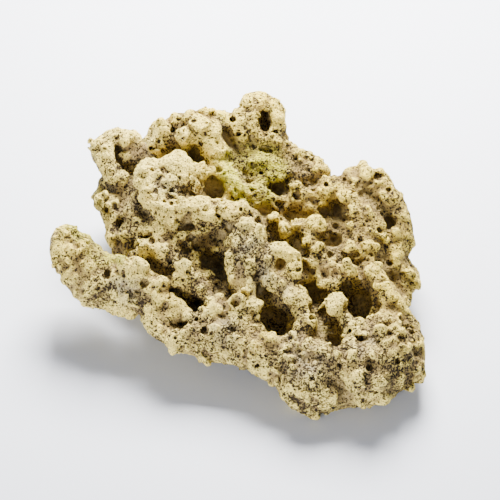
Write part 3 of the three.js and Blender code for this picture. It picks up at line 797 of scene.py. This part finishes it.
class ReliefTree:
    """The Geometry Nodes tree that weathers the surface and measures its relief."""

    LABELS = {item.name: item.name.replace("_", " ").capitalize() for item in fields(Relief)}
    # Each kind of bump: its label, its width as a share of the cell, and its least height.
    BUMPS = (("Swell", 0.8, 0.4), ("Nodule", 0.75, 0.0))
    SWELL_MEAN = 0.45
    BEND_SCALE = 190.0
    BEND_PUSH = (0.004, 0.004, 0.004)
    GRAIN = {"Scale": 260.0, "Detail": 3.0}
    # A pit's least radius and how much larger the largest is, as shares of the cell, and where in
    # the radius its wall starts and ends.
    PIT_RADIUS = (0.16, 0.3)
    PIT_EDGE = (0.55, 1.05)
    # Height over the floor below which the surface keeps still, and from which it moves in full.
    FEET = (0.0006, 0.004)
    # How often places are averaged for the surface that the relief stands over.
    PASSES = {Mask.FINE: 5, Mask.BROAD: 40}

    def __init__(self) -> None:
        """Builds the tree."""
        self.tree = bpy.data.node_groups.new("Reef rock relief", "GeometryNodeTree")
        self.tree.is_modifier = True
        self.graph = Graph(self.tree)
        self.sockets: dict[str, str] = {}
        self._build()

    def _input(self, name: str, kind: str) -> None:
        """Declares a named input and keeps its identifier."""
        item = self.tree.interface.new_socket(name, in_out="INPUT", socket_type=kind)
        self.sockets[name] = item.identifier

    def _build(self) -> None:
        """Adds the inputs, the nodes and the output."""
        g = self.graph
        self._input("Geometry", "NodeSocketGeometry")
        for label in self.LABELS.values():
            self._input(label, "NodeSocketFloat")
        self._input("Stone", "NodeSocketMaterial")
        self.tree.interface.new_socket("Geometry", in_out="OUTPUT", socket_type="NodeSocketGeometry")
        source = g.add("NodeGroupInput").outputs
        place = g.add("GeometryNodeInputPosition").outputs[0]
        normal = g.add("GeometryNodeInputNormal").outputs[0]
        aside = {0: source["Seed"], 1: g.times(source["Seed"], 1.7)}
        seed = g.add("ShaderNodeCombineXYZ", aside).outputs[0]
        seeded = g.vector("ADD", g.bent(place, self.BEND_SCALE, self.BEND_PUSH), seed)

        height: Socket | float = 0.0
        for label, width, least in self.BUMPS:
            gap, size, _ = g.cells(seeded, g.over(1.0, source[f"{label} spacing"]))
            bump = g.times(g.ramp(gap, 0.0, width, 1.0, 0.0), source[f"{label} height"])
            height = g.plus(height, g.times(bump, g.plus(least, size)))
        grain = g.add("ShaderNodeTexNoise", {"Vector": place} | self.GRAIN).outputs[0]
        rough = g.times(g.times(g.minus(grain, 0.5), source["Grain height"]), 2.0)
        height = g.plus(height, rough)

        gap, size, lot = g.cells(seeded, g.over(1.0, source["Pit spacing"]))
        least, spread = self.PIT_RADIUS
        radius = g.plus(least, g.times(g.math("POWER", size, 2.0), spread))
        inner = g.ramp(g.over(gap, radius), *self.PIT_EDGE, 1.0, 0.0)
        pit = g.times(inner, g.math("LESS_THAN", lot, source["Pit share"]))
        hole = g.times(pit, g.times(source["Pit depth"], g.plus(0.5, size)))
        height = g.minus(height, hole)

        # Swells push the surface out on the whole, so it is drawn in by their mean.
        height = g.minus(height, g.times(source["Swell height"], self.SWELL_MEAN))
        above = g.add("ShaderNodeSeparateXYZ", {0: place}).outputs[2]
        offset = g.vector("MULTIPLY", normal, g.times(height, g.ramp(above, *self.FEET)))
        moved = {"Geometry": source["Geometry"], "Offset": offset}
        rock = self._store(g.add("GeometryNodeSetPosition", moved).outputs[0], Mask.PIT, pit)
        for mask, passes in self.PASSES.items():
            rock = self._measure(rock, mask, passes)
        real = g.add("GeometryNodeRealizeInstances", {"Geometry": rock}).outputs[0]
        done = g.add("GeometryNodeSetMaterial", {"Geometry": real, "Material": source["Stone"]})
        g.add("NodeGroupOutput", {0: done.outputs[0]})

    def _store(self, geometry: Socket, mask: Mask, value: Socket) -> Socket:
        """Stores a value on every point under the mask's name."""
        inputs = {"Geometry": geometry, "Name": mask.value, "Value": value}
        kind = "GeometryNodeStoreNamedAttribute"
        return self.graph.add(kind, inputs, data_type="FLOAT", domain="POINT").outputs[0]

    def _measure(self, geometry: Socket, mask: Mask, passes: int) -> Socket:
        """Stores how far each point stands over the surface around it."""
        g = self.graph
        place = g.add("GeometryNodeInputPosition").outputs[0]
        normal = g.add("GeometryNodeInputNormal").outputs[0]
        mean = g.add("GeometryNodeBlurAttribute", {"Iterations": passes}, data_type="FLOAT_VECTOR")
        g.feed(next(s for s in mean.inputs if s.name == "Value" and s.enabled), place)
        away = g.vector("SUBTRACT", place, next(s for s in mean.outputs if s.enabled))
        proud = g.add("ShaderNodeVectorMath", {0: away, 1: normal}, operation="DOT_PRODUCT")
        return self._store(geometry, mask, g.over(proud.outputs["Value"], MM))

    def attach(self, piece: bpy.types.Object, relief: Relief, stone: bpy.types.Material) -> None:
        """Adds the tree to an object as a modifier.

        Args:
            piece: The object.
            relief: The sizes of the relief.
            stone: The material that it sets.
        """
        modifier = piece.modifiers.new("relief", "NODES")
        modifier.node_group = self.tree
        for key, label in self.LABELS.items():
            modifier[self.sockets[label]] = getattr(relief, key)
        modifier[self.sockets["Stone"]] = stone


# ---------------- material


def srgb(*levels: int) -> Color:
    """Turns an sRGB colour into a linear one.

    Args:
        *levels: Its red, green and blue, of 0 to 255.

    Returns:
        The linear colour, opaque.
    """
    parts = (level / 255.0 for level in levels)
    return (*(c / 12.92 if c <= 0.04045 else ((c + 0.055) / 1.055) ** 2.4 for c in parts), 1.0)


@dataclass(frozen=True)
class Span:
    """The values between which something comes to show.

    Attributes:
        start: Value where it starts to show.
        full: Value where it shows in full.
        amount: Share of its colour where it does.
    """

    start: float
    full: float
    amount: float = 1.0


@dataclass(frozen=True)
class Noise:
    """A noise pattern.

    Attributes:
        scale: Its swells to the metre.
        detail: Its octaves.
        rough: Strength of the finer octaves.
        span: The part of it that shows.
    """

    scale: float
    detail: float = 3.0
    rough: float = 0.55
    span: Span = Span(0.0, 1.0)


@dataclass(frozen=True)
class StoneFinish:
    """Colours, patterns and roughness of the dry limestone, with the painted light and shade that shelter,
    relief and patches lay on it.

    A span is named for what a place is where its value lies there. A number that is named for two
    things says how much the first changes the second.

    Attributes:
        bump: Depth of the bump that the shader adds, in metres.
        pores: Scale of each size of pores, and the share of its cells that hold one.
        cracks: Scale of each size of cracks, and their width in the noise.
    """

    cream: Color = (0.97, 0.765, 0.18, 1.0)
    # Chalk: light grains, and painted glints on the pale places.
    chalk: Color = (1.0, 0.88, 0.28, 1.0)
    tan: Color = (0.58, 0.435, 0.115, 1.0)
    ochre: Color = (0.29, 0.205, 0.082, 1.0)
    # Umber and brown are painted shade, laid by shelter: brown on the flanks, a paler umber deep inside and
    # in the bored pits. Brown also shows on algae over the rust and shade patches.
    umber: Color = (0.57, 0.445, 0.21, 1.0)
    brown: Color = (0.37, 0.28, 0.10, 1.0)
    # Near black: painted shade in the pores, flecks, cracks, small pits and crevices.
    pore: Color = (0.035, 0.023, 0.010, 1.0)
    ash: Color = (0.60, 0.57, 0.42, 1.0)
    film: Color = (1.0, 0.95, 0.46, 1.0)
    algae: Color = (0.62, 0.60, 0.06, 1.0)
    roughness: float = 0.95
    specular: float = 0.25
    bump: float = 0.0018

    mottle: Noise = Noise(75.0, 5.0, 0.7)
    blotch: Noise = Noise(28.0)
    speck: Noise = Noise(330.0, 3.0, 0.6, Span(0.47, 0.6, 0.55))
    ash_cloud: Noise = Noise(95.0, 4.0, 0.65, Span(0.36, 0.6, 0.55))
    algae_cloud: Noise = Noise(60.0, 4.0, 0.65, Span(0.25, 0.5))
    dark_grain: Noise = Noise(950.0, 2.0, 0.6, Span(0.49, 0.42, 0.45))
    # Light grains that are also painted glints; they show only on the pale places.
    light_grain_and_glint: Noise = Noise(820.0, 2.0, 0.6, Span(0.54, 0.64, 0.6))
    crowd: Noise = Noise(42.0, 3.0, 0.6, Span(0.38, 0.6))
    fleck: Noise = Noise(620.0, 2.0, 0.5, Span(0.625, 0.66))
    sand: Noise = Noise(700.0, 2.0, 0.6)

    # Spans of the shelter and the lift: bleach and painted light on open knobs; stain and painted shade on
    # the flanks, deep inside, in the bored pits and in the crevices.
    airy: Span = Span(0.58, 0.47)
    pale: Span = Span(0.0, 1.1)
    stained: Span = Span(0.15, -0.9)
    flank: Span = Span(0.51, 0.62, 0.5)
    deep: Span = Span(0.66, 0.80, 0.9)
    overgrown: Span = Span(0.05, 0.7)
    browned_algae: Span = Span(0.25, 0.5, 0.7)
    worn: Span = Span(0.2, 1.4)
    bored: Span = Span(0.8, 5.0, 0.5)
    crevice: Span = Span(-0.5, -1.5, 0.6)
    cracked: Span = Span(0.65, 0.69)

    pores: tuple[Row, ...] = ((330.0, 0.34), (540.0, 0.5))
    cracks: tuple[Row, ...] = ((160.0, 0.08), (260.0, 0.11))
    lift_worn: float = 0.6
    worn_cover: float = 0.75
    mottle_shelter: float = 0.12
    deep_film: float = 0.8
    deep_holes: float = 0.85
    film_crowd: float = 0.35
    crowd_fleck: float = 0.09
    crowd_crack: float = 0.12
    speck_bump: float = 1.2
    least_crowd: float = 0.25
    halo: float = 0.3
    # Share of the painted shade's black in the relief's pits.
    pit: float = 0.85


class StoneMaterial:
    """The limestone's material."""

    # A pore's least radius and how much larger the largest is, both as shares of the cell.
    PORE_RADIUS = (0.19, 0.28)
    # Distances from a pore's middle, as shares of its radius, between which it and its halo fade.
    PORE_EDGE = (0.75, 1.15)
    HALO_EDGE = (0.8, 2.6)
    # The noise that bends the pores: its scale to a cell's, and how many cells it pushes them.
    PORE_BEND = (0.9, 1.9)
    # Scale of the gaps in a crack to the crack's own.
    GAP_SCALE = 2.6

    def __init__(self, name: str, look: StoneFinish) -> None:
        """Builds the material.

        Args:
            name: The material's name.
            look: Its finish.
        """
        self.look = look
        self.material = bpy.data.materials.new(name)
        self.material.use_nodes = True
        self.graph = Graph(self.material.node_tree)
        self.place = self.graph.add("ShaderNodeTexCoord").outputs["Object"]
        self.pore_tree = self._pore_tree()
        self.mask = {
            mask: self.graph.add("ShaderNodeAttribute", attribute_name=mask.value).outputs["Fac"]
            for mask in Mask
        }
        self._build()

    def _pore_tree(self) -> bpy.types.NodeTree:
        """Builds the shared pattern of pores: a mask and a halo, at a given scale and share."""
        tree = bpy.data.node_groups.new("Pores", "ShaderNodeTree")
        g = Graph(tree)
        for name, kind in (("Vector", "Vector"), ("Scale", "Float"), ("Share", "Float")):
            tree.interface.new_socket(name, in_out="INPUT", socket_type="NodeSocket" + kind)
        for name in ("Mask", "Halo"):
            tree.interface.new_socket(name, in_out="OUTPUT", socket_type="NodeSocketFloat")
        source = g.add("NodeGroupInput").outputs
        scale = source["Scale"]
        finer, push = self.PORE_BEND
        bent = g.bent(source["Vector"], g.times(scale, finer), g.over(push, scale))
        gap, size, lot = g.cells(bent, scale)
        least, spread = self.PORE_RADIUS
        away = g.over(gap, g.times_plus(size, spread, least))
        chosen = g.math("LESS_THAN", lot, source["Share"])
        inside = g.times(g.ramp(away, *self.PORE_EDGE, 1.0, 0.0), chosen)
        around = g.times(g.ramp(away, *self.HALO_EDGE, 1.0, 0.0), chosen)
        g.add("NodeGroupOutput", {"Mask": inside, "Halo": around})
        return tree

    def _noise(self, noise: Noise) -> Socket:
        """Gives the value of a noise pattern."""
        inputs = {"Vector": self.place, "Scale": noise.scale, "Detail": noise.detail}
        return self.graph.add("ShaderNodeTexNoise", inputs | {"Roughness": noise.rough}).outputs[0]

    def _shown(self, value: Socket, span: Span) -> Socket:
        """Gives how much shows of what a span is named for."""
        return self.graph.ramp(value, span.start, span.full)

    def _crack(self, scale: float, width: float, crowd: Socket) -> Socket:
        """Gives the mask of one size of cracks, which are broken lines."""
        g, look = self.graph, self.look
        line = g.math("ABSOLUTE", g.minus(self._noise(Noise(scale, detail=1.0)), 0.5))
        line = g.ramp(line, 0.5 * width, width, 1.0, 0.0)
        gaps = self._noise(Noise(self.GAP_SCALE * scale, detail=1.0))
        broken = g.times_plus(crowd, look.crowd_crack, gaps)
        return g.times(line, self._shown(broken, look.cracked))

    def _holes(self, cover: Socket) -> tuple[Socket, Socket]:
        """Gives the mask of the pores, flecks and cracks, and the halo around the pores."""
        g, look = self.graph, self.look
        span = look.crowd.span
        crowd = g.ramp(self._noise(look.crowd), span.start, span.full, look.least_crowd, 1.0)
        bare = g.times_plus(self.mask[Mask.FILM], -look.film_crowd, 1.0)
        crowd = g.times(g.times(crowd, cover), bare)
        masks, halos = [], []
        for scale, share in look.pores:
            inputs = {"Vector": self.place, "Scale": scale, "Share": g.times(crowd, share)}
            pores = g.add("ShaderNodeGroup", inputs, node_tree=self.pore_tree)
            masks.append(pores.outputs["Mask"])
            halos.append(pores.outputs["Halo"])
        fleck = g.times_plus(crowd, look.crowd_fleck, self._noise(look.fleck))
        masks.append(self._shown(fleck, look.fleck.span))
        masks.extend(self._crack(scale, width, crowd) for scale, width in look.cracks)
        return reduce(g.most, masks), g.most(*halos)

    def _lift(self, bleach: Socket, mottle: Socket, speck: Socket) -> Socket:
        """Gives how far a place is lifted from the ochre towards the cream: up by bleach and painted light
        on open knobs, down by stain and by painted shade in sheltered places, hollows and creases.
        """
        g, mask = self.graph, self.mask
        blotch = g.minus(self._noise(self.look.blotch), 0.5)
        # Each value with the middle that it is counted from, and its weight.
        parts = (
            # The relief lightens knobs and darkens creases: painted light and shade.
            (mask[Mask.BROAD], 0.0, 0.2),
            (mask[Mask.FINE], 0.0, 0.6),
            (mottle, 0.0, 1.9),
            # Shelter and hollows darken a closed-in place towards the ochre: painted shade.
            (mask[Mask.SHELTER], 0.47, -5.0),
            (mask[Mask.HOLLOW], 0.5, -3.0),
            (blotch, 0.0, 2.0),
            (bleach, 0.0, 1.3),
            (mask[Mask.RUST], 0.0, -1.1),
            (mask[Mask.FILM], 0.0, -0.5),
            (speck, 0.5, 1.4),
        )
        lift: Socket | float = 0.0
        for value, middle, weight in parts:
            lift = g.plus(lift, g.times(g.minus(value, middle), weight))
        return lift

    def _coat(self, colour: Socket | Color, layers: tuple[tuple, ...]) -> Socket:
        """Lays colours over one another, each where its value lies in its span, times a share."""
        for over, value, span, share in layers:
            shown = self.graph.times(self._shown(value, span), share)
            colour = self.graph.mix(self.graph.times(shown, span.amount), colour, over)
        return colour

    def _build(self) -> None:
        """Adds the nodes, from the broad stains to the pores, and links them to the shader."""
        g, look, mask, noise = self.graph, self.look, self.mask, self._noise
        mottle = g.minus(noise(look.mottle), 0.5)
        speck = noise(look.speck)
        # Bleach and painted light, kept to open places.
        bleach = g.times(mask[Mask.BLEACH], self._shown(mask[Mask.SHELTER], look.airy))
        lift = self._lift(bleach, mottle, speck)
        # How closed in a place is, which lays the painted shade of the flanks and deep places.
        closed = g.times_plus(mottle, look.mottle_shelter, mask[Mask.SHELTER])
        deep = self._shown(closed, look.deep)
        worn = self._shown(g.plus(g.times(lift, look.lift_worn), bleach), look.worn)
        cover = g.times_plus(worn, -look.worn_cover, 1.0)

        # Cream on bleached knobs and ochre in stained hollows, both with painted light and shade in them,
        # on tan stone; ash-grey patches; and algae, brown over rust and painted shade.
        green = self._shown(mask[Mask.ALGAE], look.overgrown)
        algae = noise(look.algae_cloud)
        colour = self._coat(look.tan, (
            (look.cream, lift, look.pale, 1.0),
            (look.ochre, lift, look.stained, 1.0),
            (look.ash, noise(look.ash_cloud), look.ash_cloud.span, mask[Mask.ASH]),
            (look.algae, algae, look.algae_cloud.span, green),
            (look.brown, algae, look.browned_algae, g.times(green, mask[Mask.RUST])),
        ))

        # A yellow film over the back half, less of it in deep places.
        sides = {0: 1.0, 6: colour, 7: look.film}
        tinted = g.add("ShaderNodeMix", sides, data_type="RGBA", blend_type="MULTIPLY").outputs[2]
        kept = g.times_plus(deep, -look.deep_film, 1.0)
        colour = g.mix(g.times(mask[Mask.FILM], kept), colour, tinted)

        # Grit, dark grains, light grains with painted glints, and painted shade in sheltered places and
        # bored pits: brown on the flanks, a paler umber deep inside and in the pits.
        colour = self._coat(colour, (
            (look.ochre, speck, look.speck.span, cover),
            (look.ochre, noise(look.dark_grain), look.dark_grain.span, 1.0),
            (look.chalk, noise(look.light_grain_and_glint), look.light_grain_and_glint.span, self._shown(lift, look.pale)),
            (look.brown, closed, look.flank, 1.0),
            (look.umber, closed, look.deep, 1.0),
            (look.umber, mask[Mask.SUNK], look.bored, 1.0),
        ))

        # Black pores, flecks and cracks, and the small pits and crevices of the relief: painted shade, the
        # black standing for the shade inside them.
        holes, halo = self._holes(cover)
        colour = g.mix(g.times(halo, look.halo), colour, look.ochre)
        crevice = g.times(self._shown(mask[Mask.FINE], look.crevice), look.crevice.amount)
        pit = g.times(mask[Mask.PIT], look.pit)
        small = g.most(g.most(holes, pit), crevice)
        small = g.times(small, g.times_plus(deep, -look.deep_holes, 1.0))

        height = g.times_plus(holes, -1.0, g.times(speck, look.speck_bump))
        height = g.plus(height, noise(look.sand))
        bump = g.add("ShaderNodeBump", {"Height": height, "Strength": 1.0, "Distance": look.bump})
        surface = self.material.node_tree.nodes["Principled BSDF"]
        g.feed(surface.inputs["Base Color"], g.mix(small, colour, look.pore))
        g.feed(surface.inputs["Roughness"], look.roughness)
        g.feed(surface.inputs["Specular IOR Level"], look.specular)
        g.feed(surface.inputs["Normal"], bump.outputs[0])


# ---------------- rock


def scene_object(name: str, data: bpy.types.ID) -> bpy.types.Object:
    """Adds an object to the scene.

    Args:
        name: Its name.
        data: Its mesh, light or camera.

    Returns:
        The object.
    """
    thing = bpy.data.objects.new(name, data)
    bpy.context.scene.collection.objects.link(thing)
    return thing


@dataclass
class Rock:
    """The finished rock.

    Attributes:
        drawing: The drawing that places are given on.
        relief: Sizes of its weathered relief.
        finish: Its colours.
        faces: How many triangles the finished mesh may have.
        ease: Depth inside the box's walls over which the surface is eased, in millimetres.
        shelter: Reach of the surroundings that shelter a place, in millimetres.
        hollow: Reach of those that make it a hollow.
    """

    drawing: Drawing
    relief: Relief
    finish: StoneFinish
    faces: int = 190_000
    ease: float = 6.0
    shelter: float = 9.0
    hollow: float = 4.0

    def build(self, solid: bpy.types.Object) -> bpy.types.Object:
        """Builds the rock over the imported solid.

        Args:
            solid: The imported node.

        Returns:
            The finished object.
        """
        stone = Sculptor(self.drawing).shape(solid)
        material = StoneMaterial("limestone", self.finish).material
        rough = scene_object("rock_rough", stone.mesh("rock_rough"))
        rough.data.shade_smooth()
        ReliefTree().attach(rough, self.relief, material)
        thin = rough.modifiers.new("thin", "DECIMATE")
        thin.ratio = min(1.0, self.faces / (2.0 * len(rough.data.polygons)))
        evaluated = rough.evaluated_get(bpy.context.evaluated_depsgraph_get())
        mesh = bpy.data.meshes.new_from_object(evaluated)
        mesh.name = "rock_surface"
        bpy.data.objects.remove(rough)
        self._mark(mesh, stone)
        self._keep_inside(mesh)
        mesh.shade_smooth()
        log.info("rock: %d faces, material %s", len(mesh.polygons), mesh.materials[0].name)
        return scene_object("rock", mesh)

    def _keep_inside(self, mesh: bpy.types.Mesh) -> None:
        """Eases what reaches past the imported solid's box back inside it, and cuts it at the floor."""
        points = mesh_points(mesh)
        low, high = (np.array(corner, np.float32) for corner in CAD_BOX)
        ease = self.ease * MM
        over = np.maximum(points - (high - ease), 0.0)
        held = points - over + ease * (1.0 - np.exp(-over / ease))
        under = np.maximum(low + ease - points, 0.0)
        under[:, 2] = 0.0
        held += under - ease * (1.0 - np.exp(-under / ease))
        held[:, 2] = np.maximum(held[:, 2], low[2])
        mesh.vertices.foreach_set("co", held.astype(np.float32).ravel())
        mesh.update()

    def _mark(self, mesh: bpy.types.Mesh, stone: LevelSet) -> None:
        """Stores the masks of the stains and of the painted light and shade, and the shelter, on the mesh's
        points.
        """
        points = mesh_points(mesh) / MM
        solid = (stone.values < 0.0).astype(np.float32)
        marks = {
            Mask.SHELTER: stone.sample(stone.blur(solid, self.shelter), points),
            Mask.HOLLOW: stone.sample(stone.blur(solid, self.hollow), points),
            Mask.SUNK: -stone.sample(stone.unbored, points),
        }
        marks |= {mask: self._patches(points, stone, rows) for mask, rows in PATCHES.items()}
        for mask, values in marks.items():
            attribute = mesh.attributes.new(mask.value, "FLOAT", "POINT")
            attribute.data.foreach_set("value", values.astype(np.float32))

    def _patches(self, points: np.ndarray, stone: LevelSet, rows: list[Row]) -> np.ndarray:
        """Gives the strongest patch's strength at every point."""
        total = np.zeros(len(points))
        for across, up, radius, *strength in rows:
            hit = stone.first_hit(self.drawing, across, up)
            if hit is not None:
                share = np.clip(1.0 - np.linalg.norm(points - hit, axis=1) / radius, 0.0, 1.0)
                smooth = share * share * (3.0 - 2.0 * share)
                total = np.maximum(total, (strength or [1.0])[0] * smooth)
        return total


# ---------------- studio


@dataclass(frozen=True)
class Lamp:
    """A soft square light.

    Attributes:
        name: The light's name.
        place: Where it hangs, in metres.
        size: Edge of the square.
        power: In watts.
        color: Its colour.
    """

    name: str
    place: tuple[float, float, float]
    size: float
    power: float
    color: tuple[float, float, float]


@dataclass(frozen=True)
class Studio:
    """The floor, the surroundings, the lights and the camera.

    Attributes:
        drawing: The drawing, whose middle the camera looks at.
        width: Width of the picture at the rock, in metres.
        distance: Of the camera from the rock.
        elevation: Of the camera, in degrees.
        clip_end: How far the camera sees.
        floor_reach: Half the floor's edge.
        floor_color: The floor's colour.
        floor_roughness: Its roughness.
        sky_color: Colour of the surroundings, a little cooler than the lights.
        sky_strength: Their strength.
        lamps: The lights.
    """

    drawing: Drawing
    width: float = 0.4
    distance: float = 3.0
    elevation: float = 45.0
    clip_end: float = 20.0
    floor_reach: float = 4.0
    floor_color: Color = srgb(226, 231, 247)
    floor_roughness: float = 0.7
    sky_color: Color = (0.88, 0.95, 1.08, 1.0)
    sky_strength: float = 0.24
    lamps: tuple[Lamp, ...] = (
        Lamp("key", (0.08, 0.64, 0.76), 0.55, 75.0, (1.0, 0.97, 0.885)),
        Lamp("fill", (-0.7, -1.35, 0.26), 0.5, 35.0, (1.0, 0.99, 0.98)),
    )

    @property
    def target(self) -> Vector:
        """The point that the camera looks at, in metres."""
        return Vector((-self.drawing.middle[0], -self.drawing.middle[1], self.drawing.height)) * MM

    def build(self) -> None:
        """Builds the whole studio."""
        self._floor()
        self._world()
        for lamp in self.lamps:
            self._lamp(lamp)
        self._camera()

    def _floor(self) -> None:
        """Adds the floor."""
        mesh = bpy.data.meshes.new("floor")
        r = self.floor_reach
        mesh.from_pydata([(-r, -r, 0), (r, -r, 0), (r, r, 0), (-r, r, 0)], [], [(0, 1, 2, 3)])
        floor = scene_object("floor", mesh)
        material = bpy.data.materials.new("floor")
        material.use_nodes = True
        surface = material.node_tree.nodes["Principled BSDF"]
        surface.inputs["Base Color"].default_value = self.floor_color
        surface.inputs["Roughness"].default_value = self.floor_roughness
        mesh.materials.append(material)

    def _world(self) -> None:
        """Adds the plain surroundings."""
        world = bpy.data.worlds.new("studio")
        world.use_nodes = True
        background = world.node_tree.nodes["Background"]
        background.inputs["Color"].default_value = self.sky_color
        background.inputs["Strength"].default_value = self.sky_strength
        bpy.context.scene.world = world

    def _lamp(self, lamp: Lamp) -> None:
        """Adds one soft light that faces the rock."""
        data = bpy.data.lights.new(lamp.name, "AREA")
        data.size = lamp.size
        data.energy = lamp.power
        data.color = lamp.color
        light = scene_object(lamp.name, data)
        light.location = lamp.place
        light.rotation_euler = (self.target - Vector(lamp.place)).to_track_quat("-Z", "Y").to_euler()

    def _camera(self) -> None:
        """Adds the camera at the drawing's own angle."""
        data = bpy.data.cameras.new("camera")
        data.lens = data.sensor_width * self.distance / self.width
        data.clip_end = self.clip_end
        camera = scene_object("camera", data)
        tilt = math.radians(self.elevation)
        away = Vector((0.0, -math.cos(tilt), math.sin(tilt)))
        camera.location = self.target + away * self.distance
        camera.rotation_euler = (-away).to_track_quat("-Z", "Y").to_euler()
        bpy.context.scene.camera = camera


# ---------------- main


def main() -> None:
    """Builds the studio and the rock."""
    logging.basicConfig(level=logging.INFO, format="%(name)s: %(message)s")
    drawing = Drawing()
    Studio(drawing).build()
    rock = Rock(drawing, Relief(), StoneFinish()).build(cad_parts["reef_rock"])
    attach(rock, "root")
    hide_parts("reef_rock")


if __name__ == "__main__":
    main()
